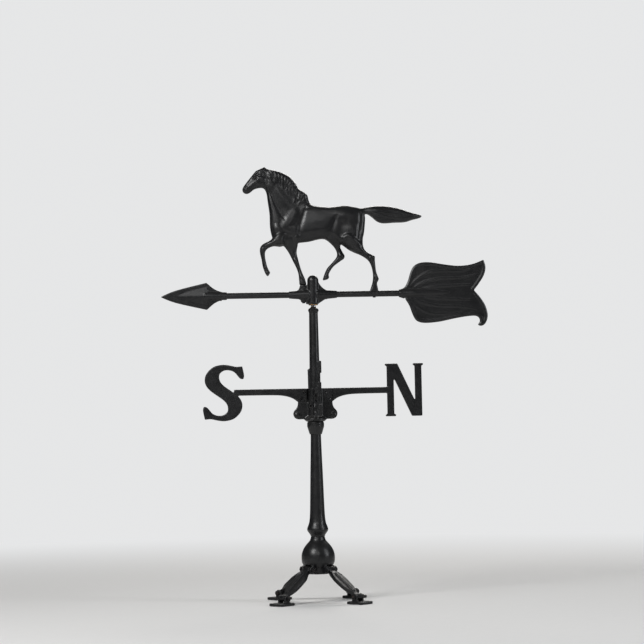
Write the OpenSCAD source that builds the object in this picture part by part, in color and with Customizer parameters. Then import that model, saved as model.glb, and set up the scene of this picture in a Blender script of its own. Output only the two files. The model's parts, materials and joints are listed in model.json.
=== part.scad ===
// Horse weather vane with compass arms and an adjustable roof mount.
// Millimetres, +Z up. The origin is on the mast's axis, level with the undersides of the four feet.
// The arrow points to -X, north is +X and west is +Y.

/* [Heights] */
// Height of the arrow's centreline above the roof
arrow_z = 707; // [690:1:730]
// Height of the compass arms' centreline above the roof
compass_z = 483; // [470:1:495]

/* [Arrow] */
// Diameter of the arrow's two shafts
shaft_d = 14; // [13:0.5:15]
// Distance from the pivot axis to the arrow's point
point_x = 353; // [340:1:380]
// Distance from the pivot axis to the tail's socket
tail_x = 199; // [190:1:215]
// Thickness of the tail's plate
tail_t = 7; // [5:0.5:9]

/* [Horse] */
// Half thickness of the horse at its outline
horse_edge = 6; // [5.5:0.25:8]
// Half thickness of the horse at the middle of its body
horse_swell = 18; // [14:1:20]

/* [Compass] */
// Height of a letter
letter_h = 122; // [110:1:130]
// Thickness of a letter
letter_t = 8; // [6:0.5:9]
// Distance from the mast's axis to a letter
arm_reach = 163; // [150:1:180]

/* [Roof mount] */
// Distance from the mast's axis to a foot's hinge
ankle_r = 118; // [105:1:125]
// Diameter of a hole for a roof screw
screw_hole_d = 6.6; // [5:0.1:7]

/* [Hidden] */
$fn = 64;
cast_black = "#1b1b1d";
screw_black = "#242426";
steel = "#8c8f94";
bronze = "#a97b45";

// Gaps between parts
run_gap = 0.05; // a shaft that turns in its bore
slip_gap = 0.08; // parts that slide together and are then clamped
thread_gap = 0.05; // a screw in its threaded hole
hole_gap = 0.2; // a screw in its clearance hole

// Central rod, its bushings and the ball that carries the vane
rod_r = 5;
bush_r = 7.5;
rod_top = arrow_z + 21;
ball_r = rod_r - run_gap;
bore_top = rod_top + 2 * ball_r + 0.1;

// Arrow hub, heights from the arrow's centreline
hub_r = 13;
hub_low = -23;
hub_dome = 32.5;
socket_in = 14; // where a shaft starts, from the pivot axis
socket_depth = 30; // how far a shaft goes into the head or the tail
head_x = 199; // distance from the pivot axis to the head's socket
shaft_r = shaft_d / 2;

// Places where the horse stands
fore_hoof_x = -22;
fore_hoof_z = 22;
hind_hoof_x = 142;
hoof_seat_r = 6.5;
hoof_seat_low = -17; // where the head of the fore hoof's screw sits
m4_r = 2;
m5_r = 2.45;
m6_r = 3;
lock_depth = 15; // how far into a socket its set screw sits
hub_lock_x = 30; // set screw of the rear shaft's inner end

// Mast, heights from the roof
neck_z = 149; // joint between the mast and the ball
neck_r = 16.2;
splice_z = compass_z - 25; // joint between the mast's two tubes, inside the compass hub
cap_low = arrow_z - 44;
cap_top = arrow_z - 28;
mast_top_r = 10.2;
seat_r = 12; // cylindrical stretch that the compass hub turns on
spigot_r = 8; // plug of the upper tube in the lower one
spigot_l = 12;
sleeve_r = 16.5;
collar_top = compass_z - 70.1;
collar_h = 29;
collar_lock = -60; // direction of the collar's set screw
collar_lock_z = collar_top - 7;

// Compass arms, heights from their centreline
arm_top = 7;
lap_low = -24;
lap_in = 18;
lap_out = 40;
arm_t = 9;
lap_screws = [[25, -1], [33, -16]]; // distance out and height of an arm's two screws
hub_locks = [45, 225]; // directions of the hub's set screws
hub_lock_z = -34;

// Roof mount
knee_r = 34; // distance from the axis to a leg's upper hinge
knee_z = 74;
ankle_z = 16;
crown_low = 64;
leg_l = norm([ankle_r - knee_r, knee_z - ankle_z]);
leg_slope = atan2(knee_z - ankle_z, ankle_r - knee_r);
knuckle_w = 16;
ankle_w = 14;
knee_pin_r = 4;
ankle_pin_r = 3;
corners = [["north_west", 45], ["south_west", 135], ["south_east", 225], ["north_east", 315]];

// ---------- Outlines ----------

// Catmull-Rom point at share t of the way from b to c
function between(a, b, c, d, t) =
    0.5 * (2 * b + (c - a) * t + (2 * a - 5 * b + 4 * c - d) * t * t + (3 * b - a - 3 * c + d) * t * t * t);

function flat(p) = [p[0], p[1]];
function sharp(p) = len(p) > 2;

// Closed smooth outline through the points p, where a point with a third value is a sharp corner
function smooth(p, steps = 4) = [
    for (i = [0 : len(p) - 1])
        let (
            n = len(p),
            b = p[i],
            c = p[(i + 1) % n],
            a = sharp(b) ? b : p[(i + n - 1) % n],
            d = sharp(c) ? c : p[(i + 2) % n],
            k = sharp(b) && sharp(c) ? 1 : steps
        )
        for (s = [0 : k - 1]) between(flat(a), flat(b), flat(c), flat(d), s / k)
];

// The same points with every coordinate of one axis turned over, in reverse order
function turned(p, sx, sz) = [
    for (i = [len(p) - 1 : -1 : 0]) [for (j = [0 : len(p[i]) - 1]) p[i][j] * (j == 0 ? sx : j == 1 ? sz : 1)]
];

// A plate in the XZ plane, from y0 to y1
module plate(y0, y1) {
    translate([0, y1, 0]) rotate([90, 0, 0]) linear_extrude(y1 - y0) children();
}

module along_x() {
    rotate([0, 90, 0]) children();
}

module along_y() {
    rotate([-90, 0, 0]) children();
}

// ---------- Fasteners ----------

// Screw with a button head, its head's seat at z = 0 and its shank upwards
module button_screw(r, length) {
    cylinder(r = r, h = length);
    difference() {
        translate([0, 0, -1.1 * r]) cylinder(r1 = 1.2 * r, r2 = 1.9 * r, h = 1.1 * r);
        translate([0, 0, -1.1 * r - 1]) cylinder(r = 0.7 * r, h = 0.7 * r + 1, $fn = 6);
    }
}

// Headless screw with its hexagon socket at z = 0 and its tip at z = length
module grub_screw(r, length) {
    difference() {
        cylinder(r = r, h = length);
        translate([0, 0, -1]) cylinder(r = 0.5 * r, h = 1 + 0.45 * length, $fn = 6);
    }
}

// Bolt with a hexagon head, its head's seat at z = 0 and its shank upwards
module hex_bolt(r, length) {
    translate([0, 0, -1.2 * r]) cylinder(r = 1.9 * r, h = 1.2 * r, $fn = 6);
    cylinder(r = r, h = length);
}

module hex_nut(r, height) {
    difference() {
        cylinder(r = 1.9 * r, h = height, $fn = 6);
        translate([0, 0, -1]) cylinder(r = r + thread_gap, h = height + 2);
    }
}

// ---------- Horse ----------

// Head, neck and body, clockwise from the ear's tip. Heights are from the arrow's centreline.
trunk = [
    [-106.5, 300, 1], [-101, 294.5], [-80, 290], [-63, 284], [-48, 275], [-36, 261], [-29.5, 248, 1],
    [-19, 241], [-9, 233], [-5, 217], [5, 207.5], [36, 203.5], [58, 204.5], [78, 206.5], [100, 203],
    [116, 198], [124, 184], [124, 164], [119, 132], [106, 114], [86, 108], [66, 118], [46, 124], [22, 129],
    [-8, 123], [-36, 120], [-64, 114], [-84, 120], [-93, 137], [-97, 160], [-97.5, 188], [-101, 216],
    [-104.5, 240], [-113, 250], [-131, 247.5], [-141, 240], [-149, 236.5], [-157, 239.5], [-159.5, 247],
    [-156, 255], [-142, 273], [-128, 290, 1]
];
tail_hair = [
    [98, 198], [115, 199.3], [130, 201.8], [147, 204.5], [173, 204], [201, 199], [228, 190], [256, 181],
    [252, 175], [234, 170.5], [217, 165.5], [190, 164.5], [166, 163.5], [152, 168], [141, 177.5],
    [130, 185], [118, 186], [98, 182]
];
raised_foreleg = [
    [-84, 140], [-96, 128], [-113, 119.5], [-120.5, 111], [-121.5, 99], [-118, 82], [-115.5, 66],
    [-109.5, 49], [-104, 42.5, 1], [-98, 52, 1], [-104.5, 64], [-108, 78], [-110, 92], [-108.5, 102],
    [-102, 108.5], [-90, 113], [-70, 113], [-58, 128]
];
standing_foreleg = [
    [-74, 126], [-63, 111], [-54, 98], [-44, 77], [-37, 62], [-33, 49], [-32, 38], [-31, 22, 1], [-14, 22, 1],
    [-18, 37], [-23, 49], [-28, 64], [-33, 84], [-36, 100], [-35, 128]
];
raised_hind_leg = [
    [16, 136], [33, 127], [45, 117], [54, 106], [58, 95], [56, 86], [46, 74], [34, 61], [27, 46],
    [22.5, 32.5, 1], [35, 35.5], [39, 40.5, 1], [38, 48], [48, 64], [62, 75], [74, 83, 1], [76, 90],
    [70, 101], [66, 110], [68, 119], [78, 136]
];
standing_hind_leg = [
    [60, 130], [78, 108], [94, 97.5], [108, 91], [119, 85], [130, 76], [136.5, 63], [140, 45], [139.5, 32],
    [138, 24, 1], [131, 3, 1], [153, 3, 1], [149, 24, 1], [154, 34, 1], [148, 50], [146, 66], [145, 78],
    [145.5, 87, 1], [137, 91], [128, 96], [120, 105], [118, 120], [119.5, 140, 1]
];

module horse_outline() {
    for (part = [trunk, tail_hair, raised_foreleg, standing_foreleg, raised_hind_leg, standing_hind_leg])
        polygon(smooth(part));
}

// The body swells from its outline in steps: how far in each step starts, and its share of the full swell
swell_steps = [[7, 0.62], [14, 0.85], [23, 1]];

module horse_figure() {
    color(cast_black) translate([0, 0, arrow_z]) difference() {
        union() {
            plate(-horse_edge, horse_edge) horse_outline();
            for (s = swell_steps)
                plate(-horse_swell * s[1], horse_swell * s[1])
                    offset(delta = -s[0]) for (part = [trunk, standing_hind_leg]) polygon(smooth(part));
        }
        // The rear pad fits over the shaft
        along_x() translate([0, 0, 100]) cylinder(r = shaft_r + run_gap, h = 80);
        for (x = [fore_hoof_x, hind_hoof_x])
            translate([x, 0, 0]) cylinder(r = m5_r + thread_gap, h = fore_hoof_z + 14);
    }
}

module figure_screws() {
    color(screw_black) translate([0, 0, arrow_z]) {
        translate([fore_hoof_x, 0, hoof_seat_low]) button_screw(m5_r, fore_hoof_z + 29);
        translate([hind_hoof_x, 0, -shaft_r + 0.8]) button_screw(m5_r, 26);
    }
}

// ---------- Arrow ----------

// Web that ties the hub's barrel to its two bosses, with the fore hoof's seat on the left
hub_web = [
    [-54, 6, 1], [-40, 8], [-33, 13], [-30, 22, 1], [-8, 22, 1], [0, 30, 1], [12, 30, 1], [20, 18], [33, 9],
    [54, 6, 1], [54, -6, 1], [33, -9], [20, -16], [11, -22, 1], [-14, -22, 1], [-24, -17], [-34, -9.5],
    [-54, -6, 1]
];

module arrow_hub() {
    color(cast_black) translate([0, 0, arrow_z]) difference() {
        union() {
            translate([0, 0, hub_low]) cylinder(r1 = hub_r - 2, r2 = hub_r, h = 3);
            translate([0, 0, hub_low + 3]) cylinder(r = hub_r, h = hub_dome - hub_low - 3);
            translate([0, 0, hub_dome]) sphere(r = hub_r);
            plate(-5, 5) polygon(smooth(hub_web));
            for (side = [-1, 1])
                rotate([0, side * 90, 0]) translate([0, 0, 8]) cylinder(r1 = 12.5, r2 = 8.4, h = 48);
            // Seats of the fore hoof and of its screw's head
            translate([fore_hoof_x, 0, hoof_seat_low])
                cylinder(r = hoof_seat_r, h = fore_hoof_z - hoof_seat_low);
        }
        translate([0, 0, hub_low - 1]) cylinder(r = bush_r, h = bore_top - arrow_z - hub_low + 1);
        for (side = [-1, 1])
            rotate([0, side * 90, 0]) translate([0, 0, socket_in - 0.5])
                cylinder(r = shaft_r + run_gap, h = 60);
        translate([fore_hoof_x, 0, -30]) cylinder(r = m5_r + hole_gap, h = 60);
        translate([fore_hoof_x, 0, hoof_seat_low - 13]) cylinder(r = hoof_seat_r + hole_gap, h = 13);
        translate([hub_lock_x, 0, -20]) cylinder(r = m5_r + thread_gap, h = 15);
    }
}

module shaft(length) {
    translate([0, 0, 1]) cylinder(r = shaft_r, h = length - 2);
    cylinder(r1 = shaft_r - 1, r2 = shaft_r, h = 1);
    translate([0, 0, length - 1]) cylinder(r1 = shaft_r, r2 = shaft_r - 1, h = 1);
}

module front_shaft() {
    color(cast_black) translate([0, 0, arrow_z]) difference() {
        translate([-socket_in, 0, 0]) rotate([0, -90, 0]) shaft(head_x + socket_depth - 1 - socket_in);
        translate([fore_hoof_x, 0, -10]) cylinder(r = m5_r + hole_gap, h = 20);
    }
}

module rear_shaft() {
    color(cast_black) translate([0, 0, arrow_z]) difference() {
        translate([socket_in, 0, 0]) along_x() shaft(tail_x + socket_depth - 1 - socket_in);
        translate([hind_hoof_x, 0, -10]) cylinder(r = m5_r + hole_gap, h = 20);
        // Flat seat for the screw's head
        translate([hind_hoof_x, 0, -shaft_r - 4]) cylinder(r = 2.1 * m5_r, h = 4.8);
    }
}

// Upper edge of the head, from its point back to its socket
head_edge = [[point_x, 0, 1], [point_x - 36, 14.5], [246, 31.5, 1], [229, 17], [213, 10], [head_x, 8.6, 1]];
head_blade = [for (i = [0 : 2]) head_edge[i]];

module arrowhead() {
    color(cast_black) translate([0, 0, arrow_z]) mirror([1, 0, 0]) difference() {
        union() {
            hull() {
                plate(-1.5, 1.5) polygon(smooth(concat(head_blade, turned(head_blade, 1, -1))));
                translate([241, 0, 0]) along_x() cylinder(r1 = 8, r2 = 1, h = point_x - 246);
            }
            plate(-3.5, 3.5) polygon(smooth(concat(head_edge, turned(head_edge, 1, -1))));
            translate([head_x, 0, 0]) along_x() cylinder(r1 = 9.4, r2 = 10, h = 52);
        }
        translate([head_x - 1, 0, 0]) along_x() cylinder(r = shaft_r + run_gap, h = socket_depth + 1);
        translate([head_x + lock_depth, 0, -20]) cylinder(r = m5_r + thread_gap, h = 20);
    }
}

// Tulip-shaped tail, clockwise from its socket. X is from the socket's mouth.
tulip = [
    [0, 8.6, 1], [13, 13], [22, 28], [29, 50], [38, 64], [54, 71], [78, 71], [104, 66.5], [134, 62.5],
    [158, 63], [178, 67], [200, 75.5, 1], [204.5, 58], [200, 39], [188, 20], [176, 4.5, 1], [190, -12],
    [202, -32], [207, -53], [204, -68], [197, -77], [189, -79], [183, -76, 1], [188, -69], [187, -61],
    [179, -55.5], [160, -56], [128, -61], [92, -68], [58, -70], [40, -64], [31, -48], [24, -28], [14, -14],
    [0, -8.6, 1]
];

module arrow_tail() {
    color(cast_black) translate([tail_x, 0, arrow_z]) difference() {
        union() {
            plate(-tail_t / 2, tail_t / 2) polygon(smooth(tulip));
            along_x() cylinder(r1 = 9.4, r2 = 10, h = 34);
            translate([34, 0, 0]) along_x() cylinder(r1 = 10, r2 = 3, h = 100);
        }
        translate([-1, 0, 0]) along_x() cylinder(r = shaft_r + run_gap, h = socket_depth + 1);
        translate([lock_depth, 0, -20]) cylinder(r = m5_r + thread_gap, h = 20);
    }
}

// One screw locks each shaft end that the horse's own screws don't hold
module arrow_set_screws() {
    color(screw_black) translate([0, 0, arrow_z])
        for (x = [-head_x - lock_depth, hub_lock_x, tail_x + lock_depth])
            translate([x, 0, -shaft_r - 4]) grub_screw(m5_r, 3.97);
}

module bushing(z0, z1) {
    translate([0, 0, z0]) difference() {
        cylinder(r = bush_r, h = z1 - z0);
        translate([0, 0, -1]) cylinder(r = rod_r + run_gap, h = z1 - z0 + 2);
    }
}

module upper_bushing() {
    color(bronze) bushing(arrow_z + 5, bore_top);
}

module lower_bushing() {
    color(bronze) {
        bushing(arrow_z + hub_low, arrow_z + hub_low + 14);
        translate([0, 0, arrow_z + hub_low - 1.5]) difference() {
            cylinder(r = 10.5, h = 1.5);
            translate([0, 0, -1]) cylinder(r = rod_r + run_gap, h = 4);
        }
    }
}

module bearing_ball() {
    color(steel) translate([0, 0, rod_top + ball_r + 0.03]) sphere(r = ball_r - 0.02);
}

// ---------- Mast ----------

module center_rod() {
    low = crown_low + 1.5;
    color(steel) translate([0, 0, low]) {
        cylinder(r1 = rod_r - 1, r2 = rod_r, h = 1);
        translate([0, 0, 1]) cylinder(r = rod_r, h = rod_top - low - 2);
        translate([0, 0, rod_top - low - 1]) cylinder(r1 = rod_r, r2 = rod_r - 1, h = 1);
    }
}

module mast_cap() {
    color(cast_black) difference() {
        rotate_extrude()
            polygon([
                [rod_r + run_gap, cap_low], [mast_top_r, cap_low], [10.6, cap_low + 3], [12.1, cap_low + 6.5],
                [12.1, cap_low + 9], [10.4, cap_low + 11.5], [6.2, cap_low + 14.5], [6.2, cap_top],
                [rod_r + run_gap, cap_top]
            ]);
        // Flats for a spanner
        for (side = [-1, 1])
            translate([0, side * 14.6, cap_low + 8]) cube([30, 10, 8], center = true);
    }
}

module upper_mast() {
    taper_z = compass_z + 14;
    color(cast_black) difference() {
        union() {
            translate([0, 0, taper_z]) cylinder(r1 = seat_r, r2 = mast_top_r, h = cap_low - taper_z);
            translate([0, 0, splice_z + 0.05]) cylinder(r = seat_r, h = taper_z - splice_z - 0.05);
            translate([0, 0, splice_z - spigot_l]) cylinder(r = spigot_r, h = spigot_l + 1);
        }
        translate([0, 0, splice_z - spigot_l - 1])
            cylinder(r = rod_r + run_gap, h = cap_low - splice_z + spigot_l + 2);
    }
}

// Right side of the lower mast, down from its cylindrical seat to its turned bead
mast_side = [
    [seat_r, compass_z - 104, 1], [12.8, 345], [14.5, 290], [15.9, 240], [17.2, 201], [19.2, 182],
    [22.3, 173], [24.1, 167], [23.4, 162], [17.6, 153.5], [neck_r, neck_z, 1]
];

module lower_mast() {
    bore_r = rod_r + run_gap;
    color(cast_black) difference() {
        rotate_extrude()
            polygon(concat([[bore_r, splice_z]], smooth(concat([[seat_r, splice_z, 1]], mast_side,
                                                              [[bore_r, neck_z, 1]]))));
        translate([0, 0, splice_z - spigot_l - 0.5]) cylinder(r = spigot_r + run_gap, h = spigot_l + 1);
        // Hollow between the bearing lands at its two ends
        translate([0, 0, neck_z + 25]) cylinder(r = spigot_r, h = splice_z - neck_z - 60);
    }
}

module support_collar() {
    bore_r = seat_r + slip_gap;
    color(cast_black) difference() {
        rotate_extrude()
            polygon([
                [bore_r, collar_top], [17.5, collar_top], [19.5, collar_top - 2.5], [19.5, collar_top - 11],
                [14, collar_top - collar_h], [bore_r, collar_top - collar_h]
            ]);
        rotate(collar_lock) translate([0, 0, collar_lock_z]) along_x()
            cylinder(r = m6_r + thread_gap, h = 30);
    }
}

module collar_set_screw() {
    color(screw_black) rotate(collar_lock) translate([19, 0, collar_lock_z]) rotate([0, -90, 0])
        grub_screw(m6_r, 19 - seat_r - 0.1);
}

// ---------- Compass ----------

// One of the hub's four brackets, with a scroll at its foot
bracket = [
    [13, lap_low, 1], [lap_out, lap_low, 1], [40.5, -31], [43.5, -38.5], [49.5, -45.5], [51, -53],
    [47.5, -60.5], [40, -64], [29, -64], [13, -64, 1]
];

module compass_hub() {
    color(cast_black) translate([0, 0, compass_z]) difference() {
        union() {
            translate([0, 0, -66]) cylinder(r = sleeve_r, h = 66 + arm_top);
            translate([0, 0, -70]) cylinder(r1 = 20, r2 = 25, h = 4);
            translate([0, 0, -66]) cylinder(r = 25, h = 3);
            translate([0, 0, -63]) cylinder(r1 = 25, r2 = sleeve_r, h = 6);
            for (a = [0 : 90 : 270]) rotate(a) {
                plate(-arm_t / 2, arm_t / 2) polygon(smooth(bracket));
                plate(-arm_t / 2, -0.05) polygon([[13, lap_low - 1], [lap_out, lap_low - 1],
                                                  [lap_out, arm_top], [13, arm_top]]);
                translate([41.5, 0, -54.5]) along_y() cylinder(r = 5, h = arm_t + 4, center = true);
            }
        }
        translate([0, 0, -71]) cylinder(r = seat_r + slip_gap, h = 80);
        for (a = [0 : 90 : 270], s = lap_screws)
            rotate(a) translate([s[0], 0, s[1]]) along_y()
                cylinder(r = m4_r + thread_gap, h = 20, center = true);
        for (a = hub_locks)
            rotate(a) translate([0, 0, hub_lock_z]) along_x() cylinder(r = m6_r + thread_gap, h = 20);
    }
}

// Arm with its half-lapped root, which reaches along +X to bar_end
module arm(bar_end) {
    translate([0, 0, compass_z]) difference() {
        union() {
            plate(0.05, arm_t / 2) polygon([[lap_in, lap_low], [lap_out + 1, lap_low], [lap_out + 1, arm_top],
                                            [lap_in, arm_top]]);
            plate(-arm_t / 2, arm_t / 2)
                polygon(smooth([[lap_out + 0.3, arm_top, 1], [bar_end, arm_top, 1], [bar_end, -arm_top, 1],
                                [98, -7.4], [70, -9.8], [52, -15.5], [lap_out + 0.3, lap_low, 1]]));
        }
        for (s = lap_screws)
            translate([s[0], 0, s[1]]) along_y() cylinder(r = m4_r + hole_gap, h = 20, center = true);
    }
}

module arm_screws() {
    color(screw_black) translate([0, 0, compass_z])
        for (a = [0 : 90 : 270], s = lap_screws)
            rotate(a) translate([s[0], arm_t / 2 + 0.02, s[1]]) rotate([90, 0, 0])
                button_screw(m4_r, arm_t - 0.5);
}

module hub_set_screws() {
    color(screw_black) translate([0, 0, compass_z + hub_lock_z])
        for (a = hub_locks)
            rotate(a) translate([sleeve_r - 0.3, 0, 0]) rotate([0, -90, 0])
                grub_screw(m6_r, sleeve_r - 0.3 - seat_r - 0.1);
}

// ---------- Letters ----------

half_h = letter_h / 2;
serif_h = 7;

// A straight stroke of width w, whose centre goes from x0 at the letter's foot to x1 at its head
module stroke(x0, x1, w) {
    polygon([[x0 - w / 2, -half_h], [x1 - w / 2, half_h], [x1 + w / 2, half_h], [x0 + w / 2, -half_h]]);
}

// A serif of width w at the letter's head (side 1) or foot (side -1)
module serif(x, w, side) {
    z = side * half_h;
    polygon(smooth([[x - w / 2, z, 1], [x + w / 2, z, 1], [x + w / 2, z - side * serif_h * 0.6, 1],
                    [x + w / 4, z - side * serif_h], [x + w / 6, z - side * serif_h * 2, 1],
                    [x - w / 6, z - side * serif_h * 2, 1], [x - w / 4, z - side * serif_h],
                    [x - w / 2, z - side * serif_h * 0.6, 1]]));
}

module letter_n() {
    stroke(12, 12, 16);
    stroke(77, 77, 16);
    stroke(73, 17, 24);
    serif(12, 24, 1);
    serif(12, 24, -1);
    serif(77, 24, 1);
}

// Right half of the S, clockwise from its crown. The other half is the same, turned half a turn.
s_half = [
    [-3, 65], [14, 63.5], [30, 60], [44, 61, 1], [48, 40], [46, 31, 1], [38, 33], [26, 47], [13, 52], [1, 51],
    [-8, 44], [-9.5, 35], [-7, 26], [1, 16.5], [16, 5.5], [30, -5], [40, -17], [43, -31], [38, -46], [23, -60]
];

module letter_s() {
    scale(letter_h / 122)
        polygon(smooth(concat(s_half, [for (p = s_half) len(p) > 2 ? [-p[0], -p[1], 1] : [-p[0], -p[1]]])));
}

module letter_e() {
    stroke(12, 12, 16);
    serif(12, 24, 1);
    serif(12, 24, -1);
    // Top and bottom limbs, each with a flared end
    for (side = [-1, 1])
        polygon([for (p = [[8, 0], [74 - 4 * side, 0], [76 - 4 * side, 27], [69 - 4 * side, 27],
                           [61 - 4 * side, 11], [8, 11]]) [p[0], side * (half_h - p[1])]]);
    // Middle limb
    translate([10, -5]) square([42, 10]);
    polygon([[45, -5], [52, -15], [58, -15], [58, 15], [52, 15], [45, 5]]);
}

module letter_w() {
    stroke(40, 17, 20);
    stroke(40, 62, 12);
    stroke(84, 60, 20);
    stroke(84, 106, 12);
    serif(17, 34, 1);
    serif(61, 30, 1);
    serif(106, 26, 1);
}

module letter_plate() {
    translate([0, 0, compass_z]) plate(-letter_t / 2, letter_t / 2) children();
}

module north_arm() {
    color(cast_black) {
        arm(arm_reach + 12);
        translate([arm_reach, 0, 0]) letter_plate() letter_n();
    }
}

module east_arm() {
    color(cast_black) rotate(-90) {
        arm(arm_reach + 12);
        translate([arm_reach, 0, 0]) letter_plate() letter_e();
    }
}

module south_arm() {
    color(cast_black) {
        rotate(180) arm(arm_reach + 24);
        translate([-arm_reach - 48, 0, 0]) letter_plate() letter_s();
    }
}

module west_arm() {
    color(cast_black) rotate(90) {
        arm(arm_reach + 28);
        translate([arm_reach, 0, 0]) letter_plate() letter_w();
    }
}

// ---------- Roof mount ----------

// Right side of the ball and its neck, down from the joint with the mast
ball_side = [
    [neck_r, neck_z, 1], [17, 144.3], [19.2, 139.5], [27, 130.8], [33.4, 121.5], [37.4, 111], [38.5, 101],
    [37.4, 90], [32, 80, 1]
];

// Ear of a leg's upper hinge, in the plane of the leg
module knee_ear() {
    translate([knee_r, knee_z]) circle(r = 9);
    translate([10, knee_z - 9]) square([knee_r - 10, 18]);
}

module mount_head() {
    ear_y = knuckle_w / 2 + 0.3;
    color(cast_black) difference() {
        union() {
            rotate_extrude() polygon(smooth(concat(ball_side, [[0, 80, 1], [0, neck_z, 1]])));
            translate([0, 0, crown_low]) cylinder(r = 29, h = 18);
            for (c = corners) rotate(c[1]) {
                plate(ear_y, ear_y + 6) knee_ear();
                plate(-ear_y - 6, -ear_y) knee_ear();
            }
        }
        for (c = corners) rotate(c[1]) translate([knee_r, 0, knee_z]) {
            along_y() cylinder(r = knee_pin_r + thread_gap, h = 50, center = true);
            along_y() cylinder(r = 10.5, h = 2 * ear_y, center = true);
        }
        cylinder(r = rod_r + run_gap, h = neck_z + 1);
        translate([0, 0, crown_low - 1]) cylinder(r = 11.5, h = 15);
    }
}

module rod_washer() {
    color(steel) translate([0, 0, crown_low + 12.4]) difference() {
        cylinder(r = 10.5, h = 1.55);
        translate([0, 0, -1]) cylinder(r = rod_r + hole_gap, h = 4);
    }
}

module rod_nut() {
    color(steel) translate([0, 0, crown_low + 4.3]) hex_nut(rod_r, 8);
}

module leg_bolts() {
    grip = knuckle_w / 2 + 6.35;
    color(screw_black)
        for (c = corners) rotate(c[1]) translate([knee_r, -grip, knee_z]) along_y()
            hex_bolt(knee_pin_r, 2 * grip + 7.5);
}

module leg_nuts() {
    grip = knuckle_w / 2 + 6.35;
    color(screw_black)
        for (c = corners) rotate(c[1]) translate([knee_r, grip, knee_z]) along_y() hex_nut(knee_pin_r, 6);
}

// Half of a leg's outline, from its upper knuckle to its lower one
leg_edge = [
    [0, knuckle_w / 2, 1], [13, knuckle_w / 2, 1], [22, 12.5], [34, 16.5], [leg_l / 2 + 2, 17],
    [leg_l - 32, 15.5], [leg_l - 20, 11], [leg_l - 12, ankle_w / 2, 1], [leg_l, ankle_w / 2, 1]
];

// A leg in its own frame: the upper hinge on the Y axis and the lower one at x = leg_l
module leg_casting() {
    difference() {
        union() {
            translate([0, 0, -4.5]) linear_extrude(9)
                polygon(smooth(concat(leg_edge, turned(leg_edge, 1, -1))));
            translate([18, -3, 0]) cube([leg_l - 34, 6, 7.5]);
            along_y() cylinder(r = 8.6, h = knuckle_w, center = true);
            translate([leg_l, 0, 0]) along_y() cylinder(r = 7.6, h = ankle_w, center = true);
        }
        along_y() cylinder(r = knee_pin_r + slip_gap, h = 30, center = true);
        translate([leg_l, 0, 0]) along_y() cylinder(r = ankle_pin_r + slip_gap, h = 30, center = true);
    }
}

module leg(azimuth) {
    color(cast_black) rotate(azimuth) translate([knee_r, 0, knee_z]) rotate([0, leg_slope, 0]) leg_casting();
}

// Flat plate with rounded corners, centred on the origin
module rounded_plate(x, y, r, t) {
    linear_extrude(t) {
        square([x - 2 * r, y], center = true);
        square([x, y - 2 * r], center = true);
        for (sx = [-1, 1], sy = [-1, 1]) translate([sx * (x / 2 - r), sy * (y / 2 - r)]) circle(r = r);
    }
}

pad_t = 6;
pad_screws = [18, 12]; // a roof screw's place, outwards and sideways from the foot's hinge

module foot(azimuth) {
    ear_y = ankle_w / 2 + 0.3;
    color(cast_black) rotate(azimuth) translate([ankle_r, 0, 0]) difference() {
        union() {
            translate([6, 0, 0]) rounded_plate(48, 42, 7, pad_t);
            for (y0 = [ear_y, -ear_y - 5])
                plate(y0, y0 + 5) {
                    translate([0, ankle_z]) circle(r = 7.6);
                    translate([-7.6, pad_t - 1]) square([15.2, ankle_z - pad_t + 1]);
                }
        }
        translate([0, 0, ankle_z]) along_y() cylinder(r = ankle_pin_r + thread_gap, h = 40, center = true);
        for (side = [-1, 1])
            translate([pad_screws[0], side * pad_screws[1], -1]) cylinder(d = screw_hole_d, h = pad_t + 2);
    }
}

// Bolt and nut of a foot's hinge
module foot_bolt(azimuth) {
    grip = ankle_w / 2 + 5.35;
    color(screw_black) rotate(azimuth) translate([ankle_r, 0, ankle_z]) {
        translate([0, -grip, 0]) along_y() hex_bolt(ankle_pin_r, 2 * grip + 5.5);
        translate([0, grip, 0]) along_y() hex_nut(ankle_pin_r, 4.5);
    }
}

// ---------- Nodes ----------

horse_figure();
figure_screws();
arrow_hub();
front_shaft();
rear_shaft();
arrowhead();
arrow_tail();
arrow_set_screws();
upper_bushing();
lower_bushing();
bearing_ball();
center_rod();
mast_cap();
upper_mast();
lower_mast();
support_collar();
collar_set_screw();
mount_head();
rod_washer();
rod_nut();
leg_bolts();
leg_nuts();
compass_hub();
north_arm();
south_arm();
east_arm();
west_arm();
arm_screws();
hub_set_screws();
for (c = corners) {
    leg(c[1]);
    foot(c[1]);
    foot_bolt(c[1]);
}
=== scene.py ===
"""Looks of the horse weather vane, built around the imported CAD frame.

Metres, in the frame's axes: +Z up, the arrow points to -X, north is +X, west is +Y.
The horse is carved on a grid in millimetres from the arrow's centreline, then meshed.
"""

import json
import math

import bpy
import numpy as np
import openvdb
from mathutils import Matrix, Vector


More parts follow.
